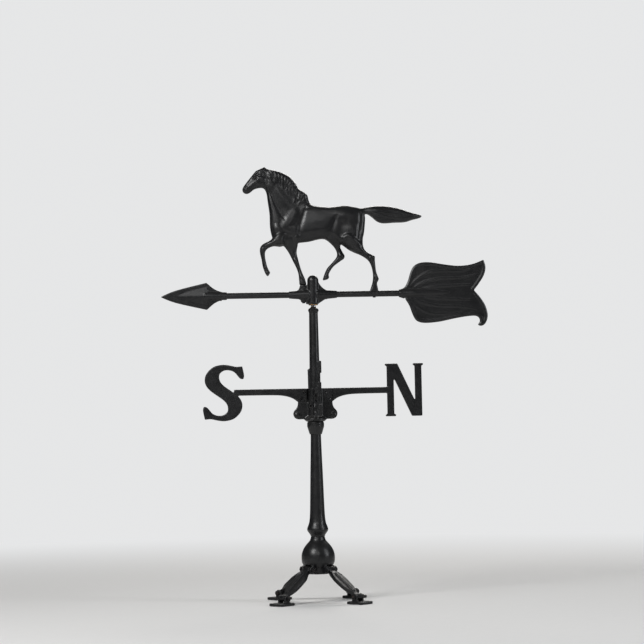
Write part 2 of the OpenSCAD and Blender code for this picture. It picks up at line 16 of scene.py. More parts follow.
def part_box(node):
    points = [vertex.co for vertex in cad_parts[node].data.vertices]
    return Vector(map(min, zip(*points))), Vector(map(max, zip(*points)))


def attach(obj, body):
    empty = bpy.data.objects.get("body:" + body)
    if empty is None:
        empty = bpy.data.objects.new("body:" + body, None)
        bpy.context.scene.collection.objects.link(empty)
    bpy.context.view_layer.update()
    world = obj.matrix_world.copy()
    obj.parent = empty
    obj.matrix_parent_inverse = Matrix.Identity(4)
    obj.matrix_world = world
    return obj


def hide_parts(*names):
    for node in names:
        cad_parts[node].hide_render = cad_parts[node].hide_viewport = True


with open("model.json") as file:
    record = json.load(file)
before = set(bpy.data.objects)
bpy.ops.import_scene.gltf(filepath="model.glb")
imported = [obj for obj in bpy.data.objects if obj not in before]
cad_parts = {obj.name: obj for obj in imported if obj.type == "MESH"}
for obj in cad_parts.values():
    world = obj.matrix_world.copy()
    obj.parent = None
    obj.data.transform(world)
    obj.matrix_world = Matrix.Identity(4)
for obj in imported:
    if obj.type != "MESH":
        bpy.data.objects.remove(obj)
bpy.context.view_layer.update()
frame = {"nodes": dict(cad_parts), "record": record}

MM = 0.001
ARROW_Z = (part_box("front_shaft")[0].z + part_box("front_shaft")[1].z) / 2 / MM  # the centreline's height
HORSE_EDGE = 6.0  # half thickness of the horse's CAD plate, which holds its outline
TAIL_EDGE = 3.5  # half thickness of the arrow tail's plate
HORSE_STEP = 1.15  # grid step that the horse is carved with

BODY_OF = {node: body for body, nodes in frame["record"]["behaviour"]["bodies"].items() for node in nodes}
SLOT_OF = {row["node"]: row["material_slot"] for row in frame["record"]["subparts"]}
CORNERS = ["north_west", "south_west", "south_east", "north_east"]


# ---------- Shapes given by a distance, in millimetres ----------

class Carving:
    """A block of grid points holding the distance to a surface, negative inside."""

    def __init__(self, low, high, step):
        self.low = np.array(low, np.float32)
        self.step = step
        counts = np.ceil((np.array(high) - self.low) / step).astype(int) + 1
        self.axes = [self.low[i] + step * np.arange(counts[i], dtype=np.float32) for i in range(3)]
        self.field = np.zeros(counts, np.float32)

    def part(self, low, high):
        """The slices and the coordinates of the grid points inside a box."""
        cut = []
        for i in range(3):
            a = int(np.clip(np.floor((low[i] - self.low[i]) / self.step), 0, len(self.axes[i])))
            b = int(np.clip(np.ceil((high[i] - self.low[i]) / self.step) + 1, 0, len(self.axes[i])))
            cut.append(slice(a, b))
        xs, ys, zs = (self.axes[i][cut[i]] for i in range(3))
        return tuple(cut), xs[:, None, None], ys[None, :, None], zs[None, None, :]

    def remove(self, shape, blend):
        """Cuts a shape (low corner, high corner, distance) out of the block, with edges rounded by blend."""
        low, high, distance = shape
        cut, x, y, z = self.part(np.array(low) - blend - 2, np.array(high) + blend + 2)
        a, b = self.field[cut], -distance(x, y, z)
        h = np.maximum(blend - np.abs(a - b), 0) / blend
        self.field[cut] = np.maximum(a, b) + h * h * blend / 4


def tube(points):
    """A tapered tube through points (x, y, z, radius): its low and high corners, and its distance."""
    p = np.array(points, np.float32)
    reach = p[:, 3].max()
    low, high = p[:, :3].min(0) - reach, p[:, :3].max(0) + reach

    def distance(x, y, z):
        best = None
        for a, b in zip(p[:-1], p[1:]):
            dx, dy, dz = b[:3] - a[:3]
            length = max(float(dx ** 2 + dy ** 2 + dz ** 2), 1e-6)
            px, py, pz = x - a[0], y - a[1], z - a[2]
            t = np.clip((px * dx + py * dy + pz * dz) / length, 0, 1)
            gap = np.sqrt((px - t * dx) ** 2 + (py - t * dy) ** 2 + (pz - t * dz) ** 2)
            gap = gap - (a[3] + t * (b[3] - a[3]))
            best = gap if best is None else np.minimum(best, gap)
        return best

    return low, high, distance


def cells_around(where, axis):
    """The four cells that share each grid edge along an axis, in turning order. An edge is named by its
    low end and a cell by its low corner."""
    p, q = [(1, 2), (2, 0), (0, 1)][axis]
    cells = []
    for dp, dq in ((0, 0), (1, 0), (1, 1), (0, 1)):
        cell = where.copy()
        cell[:, p] -= dp
        cell[:, q] -= dq
        cells.append(cell)
    return cells


def crossings(field, axis):
    """Grid edges along an axis that the zero surface cuts, the places of the cuts, and which edges start
    inside."""
    lo = [slice(None)] * 3
    hi = [slice(None)] * 3
    lo[axis], hi[axis] = slice(0, -1), slice(1, None)
    a, b = field[tuple(lo)], field[tuple(hi)]
    where = np.argwhere((a < 0) != (b < 0))
    va, vb = a[tuple(where.T)], b[tuple(where.T)]
    point = where.astype(np.float32)
    point[:, axis] += va / (va - vb)
    return where, point, va < 0


def surface_net(carving):
    """Vertices and quads of the carving's zero surface, one vertex in each cell that it crosses."""
    shape = np.array(carving.field.shape) - 1
    cuts = [crossings(carving.field, axis) for axis in range(3)]
    total = np.zeros(tuple(shape) + (3,), np.float32)
    count = np.zeros(tuple(shape), np.float32)
    for axis, (where, point, _) in enumerate(cuts):
        for cell in cells_around(where, axis):
            ok = np.all((cell >= 0) & (cell < shape), axis=1)
            np.add.at(total, tuple(cell[ok].T), point[ok])
            np.add.at(count, tuple(cell[ok].T), 1)
    used = count > 0
    index = np.full(count.shape, -1, np.int64)
    index[used] = np.arange(used.sum())
    verts = total[used] / count[used][:, None] * carving.step + carving.low
    faces = []
    for axis, (where, _, starts_inside) in enumerate(cuts):
        cells = cells_around(where, axis)
        ok = np.all([np.all((c >= 0) & (c < shape), axis=1) for c in cells], axis=0)
        quad = np.stack([index[tuple(c[ok].T)] for c in cells], axis=1)
        flip = ~starts_inside[ok]
        quad[flip] = quad[flip][:, ::-1]
        faces.append(quad)
    return verts, np.concatenate(faces)


def mesh_object(name, verts, faces, smooth=True):
    """A new object from points (n, 3) in metres and faces (m, sides) of equal length."""
    mesh = bpy.data.meshes.new(name)
    mesh.vertices.add(len(verts))
    mesh.vertices.foreach_set("co", np.asarray(verts, np.float32).ravel())
    sides = faces.shape[1]
    mesh.loops.add(faces.size)
    mesh.loops.foreach_set("vertex_index", faces.astype(np.int32).ravel())
    mesh.polygons.add(len(faces))
    mesh.polygons.foreach_set("loop_start", np.arange(0, faces.size, sides, dtype=np.int32))
    mesh.polygons.foreach_set("use_smooth", np.full(len(faces), smooth))
    mesh.update(calc_edges=True)
    obj = bpy.data.objects.new(name, mesh)
    bpy.context.scene.collection.objects.link(obj)
    return obj


# ---------- Shapes read from the CAD meshes ----------

def cad_mesh(node):
    """A CAD node's points (n, 3) in millimetres and the three corners (m, 3) of each of its triangles."""
    mesh = frame["nodes"][node].data
    points = np.zeros(len(mesh.vertices) * 3, np.float32)
    mesh.vertices.foreach_get("co", points)
    mesh.calc_loop_triangles()
    corners = np.zeros(len(mesh.loop_triangles) * 3, np.int32)
    mesh.loop_triangles.foreach_get("vertices", corners)
    return points.reshape(-1, 3) / MM, corners.reshape(-1, 3)


def triangles(node):
    """Triangles (n, 3, 3) of a CAD node and their normals, in millimetres from the arrow's height."""
    points, corners = cad_mesh(node)
    corner = (points - np.array([0, 0, ARROW_Z], np.float32))[corners]
    normal = np.cross(corner[:, 1] - corner[:, 0], corner[:, 2] - corner[:, 0])
    return corner, normal / np.maximum(np.linalg.norm(normal, axis=1, keepdims=True), 1e-9)


def plate_outline(corner, normal, half):
    """Segments (n, 2, 2) in XZ of a plate's outline, from the side walls between Y = -half and half."""
    reach = np.abs(corner[:, :, 1]).max(1)
    square_on = np.abs(normal[:, 1]) < 0.02
    wall = square_on & (np.abs(reach - half) < 0.05)
    flat = corner[wall][:, :, [0, 2]]
    sides = np.stack([flat, np.roll(flat, -1, axis=1)], axis=2)
    longest = np.linalg.norm(sides[:, :, 0] - sides[:, :, 1], axis=2).argmax(1)
    return sides[np.arange(len(sides)), longest]


def outline_distance(corner, normal, half, xs, zs):
    """Distance in XZ to a plate's outline at each grid point, negative inside."""
    px, pz = xs[:, None], zs[None, :]
    best = np.full((len(xs), len(zs)), 1e9, np.float32)
    for (ax, az), (bx, bz) in plate_outline(corner, normal, half):
        dx, dz = bx - ax, bz - az
        t = np.clip(((px - ax) * dx + (pz - az) * dz) / max(dx * dx + dz * dz, 1e-8), 0, 1)
        best = np.minimum(best, (px - ax - t * dx) ** 2 + (pz - az - t * dz) ** 2)
    inside = np.zeros(best.shape, bool)
    step = xs[1] - xs[0]
    for points in corner[normal[:, 1] < -0.5][:, :, [0, 2]]:
        low = np.maximum(np.floor((points.min(0) - (xs[0], zs[0])) / step).astype(int), 0)
        high = np.ceil((points.max(0) - (xs[0], zs[0])) / step).astype(int) + 1
        cut = (slice(low[0], high[0]), slice(low[1], high[1]))
        x, z = xs[cut[0]][:, None], zs[cut[1]][None, :]
        turns = []
        for (ax, az), (bx, bz) in zip(points, np.roll(points, -1, axis=0)):
            turns.append((bx - ax) * (z - az) - (bz - az) * (x - ax))
        inside[cut] |= (np.min(turns, axis=0) >= -1e-3) | (np.max(turns, axis=0) <= 1e-3)
    return np.where(inside, -1, 1) * np.sqrt(best)


def inflate(inside, rounds, start=None):
    """Square of the height that a soft skin over the outline swells to, in squares of the grid's step. It
    is the solution of a Poisson equation, reached by rounds of averaging."""
    u = np.zeros(inside.shape, np.float32) if start is None else start * inside
    for _ in range(rounds):
        near = np.zeros_like(u)
        near[1:-1, 1:-1] = (u[2:, 1:-1] + u[:-2, 1:-1] + u[1:-1, 2:] + u[1:-1, :-2]) / 4
        u = (near + 0.5) * inside
    return u


def soften(values, radius):
    """Box blur of a map or a block, twice over."""
    for _ in range(2):
        for axis in range(values.ndim):
            pad = [(0, 0)] * values.ndim
            pad[axis] = (radius + 1, radius)
            total = np.cumsum(np.pad(values, pad, mode="edge"), axis=axis, dtype=np.float64)
            size = values.shape[axis]
            ahead = np.take(total, np.arange(size) + 2 * radius + 1, axis=axis)
            behind = np.take(total, np.arange(size), axis=axis)
            values = ((ahead - behind) / (2 * radius + 1)).astype(np.float32)
    return values


COARSE = 4  # the swell starts from every fourth grid point
COARSE_ROUNDS = 900  # rounds of smoothing there
FINE_ROUNDS = 500  # and on the full grid
STEEPEST = 6.0  # rise of the swell per millimetre where there is none to measure


def swell(distance, step):
    """Poisson swell of the shape where distance is negative, in square millimetres. It runs on smoothly
    to negative values just outside the outline, so that its zero line is the outline itself."""
    rough = inflate(distance[::COARSE, ::COARSE] < 0, COARSE_ROUNDS) * COARSE ** 2
    fine = np.repeat(np.repeat(rough, COARSE, 0), COARSE, 1)[:distance.shape[0], :distance.shape[1]]
    square = inflate(distance < 0, FINE_ROUNDS, fine) * step * step
    sure = (distance < -1.5 * step).astype(np.float32)
    steepness = soften(sure * square / np.maximum(-distance, step), 2)
    share = soften(sure, 2)
    steepness = np.where(share > 0.01, steepness / np.maximum(share, 0.01), STEEPEST)
    deep = step_up(-distance, 1.5 * step, 4 * step)
    return square * deep - steepness * distance * (1 - deep)


# ---------- Drawing on a height map ----------

class Sheet:
    """Places in XZ, such as a grid's, with soft shapes drawn on them."""

    def __init__(self, x, z):
        self.x, self.z = x, z

    def oval(self, x0, z0, rx, rz, turn=0.0):
        """1 on the rim of an ellipse and 0 at its centre."""
        c, s = math.cos(math.radians(turn)), math.sin(math.radians(turn))
        u = ((self.x - x0) * c + (self.z - z0) * s) / rx
        w = (-(self.x - x0) * s + (self.z - z0) * c) / rz
        return np.sqrt(u * u + w * w)

    def swelling(self, x0, z0, rx, rz, turn, height, soft):
        """A rise with a flat crown; soft is the share of its radius that the slope takes."""
        return height * step_up(self.oval(x0, z0, rx, rz, turn), 1.0, 1.0 - soft)

    def line(self, points):
        """Distance to a line through points (x, z, half width), over the half width there; the share of
        its length reached; and the side of the line, -1 or 1."""
        p = np.array(points, np.float32)
        lengths = np.hypot(*(p[1:, :2] - p[:-1, :2]).T)
        along = np.concatenate([[0], np.cumsum(lengths)]) / lengths.sum()
        best, where, side = None, None, None
        for i in range(len(p) - 1):
            dx, dz = p[i + 1, 0] - p[i, 0], p[i + 1, 1] - p[i, 1]
            px, pz = self.x - p[i, 0], self.z - p[i, 1]
            t = np.clip((px * dx + pz * dz) / max(lengths[i] ** 2, 1e-6), 0, 1)
            width = p[i, 2] + t * (p[i + 1, 2] - p[i, 2])
            q = np.hypot(px - t * dx, pz - t * dz) / width
            turn = np.sign(px * dz - pz * dx)
            if best is None:
                best, where, side = q, along[i] + t * (along[i + 1] - along[i]), turn
            else:
                closer = q < best
                best = np.where(closer, q, best)
                where = np.where(closer, along[i] + t * (along[i + 1] - along[i]), where)
                side = np.where(closer, turn, side)
        return best, where, side

    def ridge(self, points, height):
        """A raised line, or a sunk one where height is negative, that fades out at both ends."""
        q, along, _ = self.line(points)
        return height * np.exp(-1.6 * q * q) * np.sqrt(np.sin(math.pi * np.clip(along, 0.001, 0.999)))


def step_up(value, start, end):
    """Smooth step from 0 at start to 1 at end."""
    t = np.clip((value - start) / (end - start), 0, 1)
    return t * t * (3 - 2 * t)


def curve(points, steps):
    """Points of a Catmull-Rom curve through rows of numbers, with `steps` of them from row to row."""
    p = np.array(points, float)
    p = np.vstack([2 * p[0] - p[1], p, 2 * p[-1] - p[-2]])
    rows = []
    for i in range(1, len(p) - 2):
        for t in np.arange(steps) / steps:
            a, b, c, d = p[i - 1], p[i], p[i + 1], p[i + 2]
            rows.append(0.5 * (2 * b + (c - a) * t + (2 * a - 5 * b + 4 * c - d) * t ** 2
                               + (3 * b - a - 3 * c + d) * t ** 3))
    rows.append(p[-2])
    return np.array(rows)


# ---------- Horse ----------

# Greatest half thickness near a place (x, z, half thickness)
FULLNESS = [
    (30, 168, 19), (-70, 158, 17.5), (92, 165, 18.5), (-72, 212, 14), (-45, 255, 11.5), (-112, 272, 10.5),
    (-148, 250, 8.5), (125, 192, 10), (200, 182, 9), (-112, 80, 8), (-30, 70, 9), (50, 75, 8.5), (140, 60, 9),
]

USUAL_FULLNESS = 12  # far from all of those places
FULLNESS_REACH = 24  # how far each of them counts
LIMB_REACH = 14  # how far around a place its limb's width is measured
ROUND_MEAN = 0.785  # mean height of a half circle of radius 1

# Middle lines of the legs: (x, z, sideways place)
LEGS = {
    "raised_fore": [(-66, 132, -3), (-90, 120, -7), (-113, 106, -8.5), (-113, 80, -8.5), (-110, 65, -8),
                    (-103, 50, -7)],
    "standing_fore": [(-54, 128, 4), (-44, 98, 7), (-37, 76, 5), (-28, 50, 2), (-22, 22, 0)],
    "raised_hind": [(42, 128, 3), (60, 106, 7), (69, 89, 8.5), (54, 76, 8.5), (39, 58, 8), (31, 38, 7)],
    "standing_hind": [(82, 126, -4), (112, 101, -7), (138, 84, -6.5), (142, 62, -4), (144, 42, -1.5),
                      (142, 20, 0)],
}

# Swellings seen on both sides: x, z, two radii, turn, height, softness
MUSCLES = [
    (-52, 172, 17, 40, -36, 3.0, 0.75),    # shoulder blade
    (-43, 150, 22, 15, 20, 2.4, 0.7),      # triceps
    (-80, 148, 14, 21, 12, 2.4, 0.75),     # point of the chest
    (20, 160, 54, 32, -3, 2.0, 0.8),       # barrel
    (-6, 203, 22, 9, 10, 1.6, 0.9),        # withers
    (84, 180, 36, 24, -12, 2.6, 0.75),     # croup
    (-95, 255, 12, 20, -20, 1.2, 0.8),     # throat
    (-116, 264, 13, 16, 25, 2.3, 0.4),     # cheek
    (-130, 277, 7, 4.5, -52, 1.6, 0.7),    # brow
    (-153, 247, 6.5, 8.5, -40, 1.6, 0.8),  # muzzle
    (-114, 107, 8.5, 8.5, 0, 1.5, 0.7),    # knee of the raised foreleg
    (-109.5, 61, 6, 6, 0, 1.2, 0.8),
    (-38, 79, 7.5, 9, 20, 1.5, 0.7),       # knee of the standing foreleg
    (-26.5, 43, 6.5, 6.5, 0, 1.2, 0.8),
    (68, 90, 8, 10, 0, 1.6, 0.7),          # hock of the raised hind leg
    (36, 51, 6.5, 7, 0, 1.2, 0.8),
    (138, 83, 9, 9, 0, 1.8, 0.7),          # hock of the standing hind leg
    (145, 38, 7.5, 7.5, 0, 1.2, 0.8),
]
NEAR_MUSCLES = [
    (-84, 122, 24, 12, 18, 2.6, 0.75),     # forearm, raised
    (92, 142, 24, 34, 20, 3.0, 0.7),       # thigh, standing
    (70, 128, 11, 13, 0, 1.4, 0.85),       # stifle
    (114, 99, 22, 9.5, -36, 2.4, 0.75),    # gaskin, standing
]
FAR_MUSCLES = [
    (-49, 112, 13, 26, 20, 2.6, 0.75),     # forearm, standing
    (60, 140, 24, 32, -18, 3.0, 0.7),      # thigh, raised
    (52, 116, 16, 13, -40, 2.0, 0.75),     # gaskin, raised
    (104, 142, 15, 32, 12, 1.8, 0.8),      # buttock behind it
]

# Raised or sunk lines: height, then points (x, z, half width)
FOLDS = [
    (2.0, [(-105, 248, 8), (-93, 205, 10), (-82, 168, 11), (-80, 150, 10)]),
    (1.6, [(-96, 276, 8), (-84, 250, 11), (-64, 222, 14), (-42, 200, 12), (-30, 186, 8)]),
    (-1.6, [(-98, 252, 3), (-86, 216, 4), (-72, 188, 4.5), (-60, 172, 3)]),
    (-1.6, [(-107, 290, 2.2), (-102, 270, 2.8), (-105, 250, 3.0), (-112, 243, 2)]),
    (1.2, [(-122, 270, 2.8), (-134, 261, 2.4), (-148, 250, 1.8)]),
    (0.9, [(-128, 288, 3), (-140, 272, 3), (-154, 254, 2.5)]),
    (-0.9, [(-161, 244, 0.9), (-154, 243, 1.0), (-145, 246.5, 0.9)]),
    (-2.0, [(-12, 207, 3), (-18, 188, 6), (-25, 168, 7), (-31, 148, 6), (-30, 130, 3)]),
    (-1.6, [(-72, 152, 3), (-56, 141, 5), (-40, 138, 4), (-26, 142, 3)]),
    (-2.0, [(60, 186, 4), (52, 168, 7), (45, 148, 9), (36, 132, 6)]),
    (-1.2, [(112, 196, 3), (112, 168, 4), (106, 140, 4), (104, 112, 3)]),
    (1.0, [(-20, 206, 5), (30, 198, 6), (76, 200, 6), (112, 196, 5)]),
    (-0.9, [(-30, 136, 5), (0, 138, 7), (28, 144, 6), (44, 152, 4)]),
    (-0.9, [(-112.5, 100, 0.9), (-111, 84, 1.0), (-108, 66, 0.9)]),
    (-0.9, [(-37, 76, 0.9), (-32, 62, 1.0), (-26.5, 44, 0.9)]),
    (-0.9, [(63, 84, 1.0), (52, 72, 1.1), (38, 56, 0.9)]),
    (-0.9, [(141, 80, 1.0), (143.5, 62, 1.1), (144.5, 42, 0.9)]),
]

# Hoofs: the line where the horn begins, from front to back, and the point at the hoof's tip
HOOFS = [
    ((-113, 53), (-102.5, 59.5), (-104, 43)),
    ((-34, 35.5), (-16, 35.5), (-23, 22)),
    ((23.5, 42), (39.5, 46), (31, 33)),
    ((138, 33), (155, 33), (145, 24)),
]

HOOF_HALF = 6.4  # half thickness of the horn
PAD_HALF = 6.2  # and of the pad under the standing hind hoof
SEAT_RADIUS = 7.25  # of the pad's hollow for the shaft
MANE_HEIGHT = 3.2  # rise of the mane's locks
STRAND_HEIGHT = 2.9  # and of the tail's
LOCK_BLUR = 0.8  # how far both are softened
HORSE_LOW = (-167, -27, -4)  # corners of the block that the horse is carved from
HORSE_HIGH = (263, 27, 306)

# Line of the mane's roots: (x, z)
CREST = [(-119, 288), (-100, 291), (-78, 287), (-58, 278), (-43, 266), (-33, 250), (-21, 240),
         (-11, 228), (-5, 216)]

# Middle line of the tail: (x, z, half width)
TAIL_MIDDLE = [(112, 197, 5), (132, 195.5, 10), (152, 187, 17.5), (180, 184, 18.5), (208, 181, 14),
               (234, 178.5, 8), (254, 179.5, 2)]


def lock_row(place, depth, width, reach):
    """Height, up to 1, of locks side by side: place runs across them, depth from roots to tips."""
    number = np.floor(place / width)
    share = 2 * (place / width - number) - 1
    uneven = 1 + 0.16 * np.sin(2.4 * number) + 0.09 * np.cos(5.1 * number)
    t = np.clip(depth / (reach * uneven), 0, 1)
    half = np.maximum(1 - t ** 2.5, 0.02) ** 0.8
    body = np.sqrt(np.clip(1 - (share / half) ** 2, 0, 1))
    strands = 1 - 0.13 * np.cos(2.2 * math.pi * share + number) ** 2
    thinning = (1 - 0.25 * t) * step_up(t, 1.0, 0.94)
    return body * strands * thinning * (depth > 0)


def mane(sheet):
    """Two rows of locks that fall from the crest and are blown back, from the poll to the withers."""
    crest = curve(CREST, 10)
    length = np.hypot(*np.diff(crest, axis=0).T).sum()
    q, along, side = sheet.line([(x, z, 1.0) for x, z in crest])
    depth = q * side + 5
    blown_back = 0.35 * depth + 0.014 * depth ** 2
    place = along * length - blown_back
    sway = 1.3 * np.sin(0.28 * depth + 0.05 * along * length)
    upper = lock_row(place + sway, depth, 9.5, 23)
    under = lock_row(place - sway + 5, depth, 8.5, 31)
    ends = step_up(along, 0.12, 0.17) * step_up(along, 1.0, 0.95)
    return (MANE_HEIGHT * np.maximum(upper, 0.6 * under) + 0.8 * np.sqrt(under)) * ends


def tail_strands(sheet):
    """Long locks that stream along the tail, side by side, and close together at its tip."""
    q, along, side = sheet.line(curve(TAIL_MIDDLE, 8))
    across = q * side
    coarse = 2.6 * across + 0.35 * np.sin(4.5 * along + 1.5 * across) + 0.5
    fine = 2.3 * coarse + 0.6 * along
    ridges = STRAND_HEIGHT * np.sqrt(np.abs(np.sin(math.pi * coarse))) + 0.5 * np.abs(np.sin(math.pi * fine))
    return ridges * step_up(along, 0.02, 0.2) * step_up(along, 1.0, 0.86) * step_up(q, 1.4, 1.1)


def fullness_limit(sheet):
    """Greatest half thickness at each place, blended from the rows of FULLNESS."""
    weight, limit = 1e-6, 1e-6 * USUAL_FULLNESS
    for x0, z0, full in FULLNESS:
        w = np.exp(-((sheet.x - x0) ** 2 + (sheet.z - z0) ** 2) / (2 * FULLNESS_REACH ** 2)) + 1e-9
        weight, limit = weight + w, limit + w * full
    return limit / weight


def body_swell(edge, sheet, step):
    """Smooth half thickness of the horse, and the fall of its square outside the outline."""
    square = swell(edge, step)
    rise = np.sqrt(np.maximum(square, 0))
    mask = (edge < 0).astype(np.float32)
    reach = int(LIMB_REACH / step)
    # The mean rise nearby gives the half width that a round limb would have. What is wider than the limit
    # becomes an ellipse, about as thick as the limit
    width = soften(rise, reach) / np.maximum(soften(mask, reach), 0.05) / ROUND_MEAN
    share = (1 + (width / fullness_limit(sheet)) ** 4) ** -0.25
    return rise * share, np.minimum(square, 0) * share ** 2


def middle_plane(sheet):
    """Where the middle of the horse lies along Y: each leg stands to one side."""
    middle = 0.0
    for points in LEGS.values():
        q, along, _ = sheet.line([(x, z, 8.0) for x, z, _ in points])
        lengths = np.hypot(*np.diff(np.array(points)[:, :2], axis=0).T)
        marks = np.concatenate([[0], np.cumsum(lengths)]) / lengths.sum()
        sideways = np.interp(along, marks, [y for _, _, y in points])
        near = step_up(q, 2.1, 1.0)
        middle = middle * (1 - near) + sideways * near
    return middle


def muscle_relief(edge, sheet):
    """Muscles and folds of the near side and of the far side, which fade out towards the outline."""
    both = np.zeros(edge.shape, np.float32)
    for row in MUSCLES:
        both += sheet.swelling(*row)
    for height, points in FOLDS:
        both += sheet.ridge(points, height)
    near, far = both.copy(), both.copy()
    for row in NEAR_MUSCLES:
        near += sheet.swelling(*row)
    for row in FAR_MUSCLES:
        far += sheet.swelling(*row)
    inner = step_up(-edge, 0.3, 5.0)
    return near * inner, far * inner


def ear(sheet):
    shell = sheet.line([(-118, 284, 4.6), (-112, 291, 4.4), (-107.5, 298.5, 1.6)])[0]
    hollow = sheet.ridge([(-116, 287, 1.0), (-109, 296.5, 0.7)], -1.6)
    return 2.4 * np.sqrt(np.clip(1 - shell * shell, 0, 1)) + hollow


def eye(sheet):
    ball = sheet.oval(-131.0, 273.6, 4.0, 2.9, -40)
    socket = 1.3 * np.exp(-((ball - 1.25) / 0.28) ** 2)
    lid = sheet.ridge([(-138, 272.5, 1.3), (-133.5, 278.2, 1.6), (-126, 278.8, 1.5), (-122, 274, 1.3)], 1.7)
    return 2.3 * np.sqrt(np.clip(1 - ball * ball, 0, 1)) - socket + lid


def nostril(sheet):
    opening = sheet.oval(-153.4, 249.6, 1.5, 2.9, -40)
    wing = sheet.ridge([(-157, 253.5, 1.2), (-151.5, 254.5, 1.5), (-148.6, 250, 1.2)], 1.1)
    return wing - 2.6 * step_up(opening, 1.5, 0.4)


def forelock(sheet):
    return sheet.ridge([(-108, 290, 3), (-118, 290, 3.2), (-127, 286, 2.6), (-134, 279, 1.5)], 2.2)


def hoof(sheet, front, back, tip):
    """A hoof's relief, with a groove at the coronet and thicker horn below it, and the horn's share."""
    front, back, tip = np.array(front), np.array(back), np.array(tip)
    groove = sheet.ridge([(*front, 0.8), (*back, 0.8)], -0.9)
    down = np.array([front[1] - back[1], back[0] - front[0]])
    down = down * np.sign(np.dot(down, tip - front)) / np.hypot(*down)
    below = (sheet.x - front[0]) * down[0] + (sheet.z - front[1]) * down[1]
    span = np.hypot(*(tip - (front + back) / 2)) + 6
    close = sheet.oval(*((front + back + 2 * tip) / 4), span, span)
    horn = step_up(close, 1.1, 0.9)
    return groove + 0.9 * step_up(below, 0.0, 1.4) * horn, step_up(below, 0.5, 5.0) * horn


def slab(edge, half):
    """Half thickness of a flat block with softly rounded edges."""
    return half * (1 - np.exp(np.minimum(edge, 0) / 1.1))


def horse_heights(edge, sheet, step):
    """Half thickness of the horse on its near and far sides, and the fall of its square outside."""
    base, rim = body_swell(edge, sheet, step)
    near, far = muscle_relief(edge, sheet)
    detail = ear(sheet) + eye(sheet) + nostril(sheet)
    horn = np.zeros(edge.shape, np.float32)
    for row in HOOFS:
        relief, share = hoof(sheet, *row)
        detail += relief
        horn = np.maximum(horn, share)
    base = base * (1 - horn) + slab(edge, HOOF_HALF) * horn
    locks = soften(mane(sheet) + tail_strands(sheet), max(round(LOCK_BLUR / step), 1))
    detail = (detail + forelock(sheet) + locks) * step_up(-edge, 0.0, 2.2)
    return base + near + detail, base + far + detail, rim


def carve_horse(step):
    """Points in metres and faces of the horse, carved on a grid of this step in millimetres."""
    corner, normal = triangles("horse_figure")
    block = Carving(HORSE_LOW, HORSE_HIGH, step)
    xs, ys, zs = block.axes
    edge = soften(outline_distance(corner, normal, HORSE_EDGE, xs, zs), 1)
    sheet = Sheet(xs[:, None], zs[None, :])
    near, far, rim = horse_heights(edge, sheet, step)

    # The pad under the standing hind hoof is a plain block
    pad = step_up(sheet.z, 24.5, 23.0) * step_up(sheet.x, 120, 126)
    near = near * (1 - pad) + slab(edge, PAD_HALF) * pad
    far = far * (1 - pad) + slab(edge, PAD_HALF) * pad

    y = ys[None, :, None] - middle_plane(sheet)[:, None, :]
    square = np.where(y < 0, near[:, None, :], far[:, None, :]) ** 2 + rim[:, None, :]
    slope_x, slope_z = np.gradient(np.maximum(near, far) ** 2 + rim, step)
    steep = np.sqrt(4 * y * y + (slope_x ** 2 + slope_z ** 2)[:, None, :])
    block.field = ((y * y - square) / np.maximum(steep, 3.0)).astype(np.float32)

    gap_between_ears = tube([(-122, 0, 301.5, 2.6), (-98, 0, 304, 3.4)])
    seat_on_shaft = tube([(90, 0, 0, SEAT_RADIUS), (190, 0, 0, SEAT_RADIUS)])
    block.remove(gap_between_ears, 1.5)
    block.remove(seat_on_shaft, 0.4)
    verts, faces = surface_net(block)
    verts[:, 2] += ARROW_Z
    return verts * MM, faces


# ---------- Materials ----------

COAT_DARK = (0.0055, 0.0057, 0.0062, 1)
COAT_PALE = (0.0095, 0.0095, 0.01, 1)
DUST = (0.12, 0.112, 0.1, 1)
BARE_ALUMINIUM = (0.27, 0.265, 0.26, 1)
OXIDE_DARK = (0.022, 0.023, 0.027, 1)
OXIDE_PALE = (0.045, 0.043, 0.042, 1)
RUBBED_STEEL = (0.3, 0.27, 0.24, 1)
RUST = (0.11, 0.05, 0.025, 1)
PIT = (0.05, 0.035, 0.02, 1)
FLOOR_DARK = (0.76, 0.755, 0.745, 1)
FLOOR_PALE = (0.8, 0.795, 0.785, 1)
BACKDROP = (0.79, 0.795, 0.8, 1)
FADE = (0.7, 3.2)  # metres from the object between which the floor turns into the backdrop


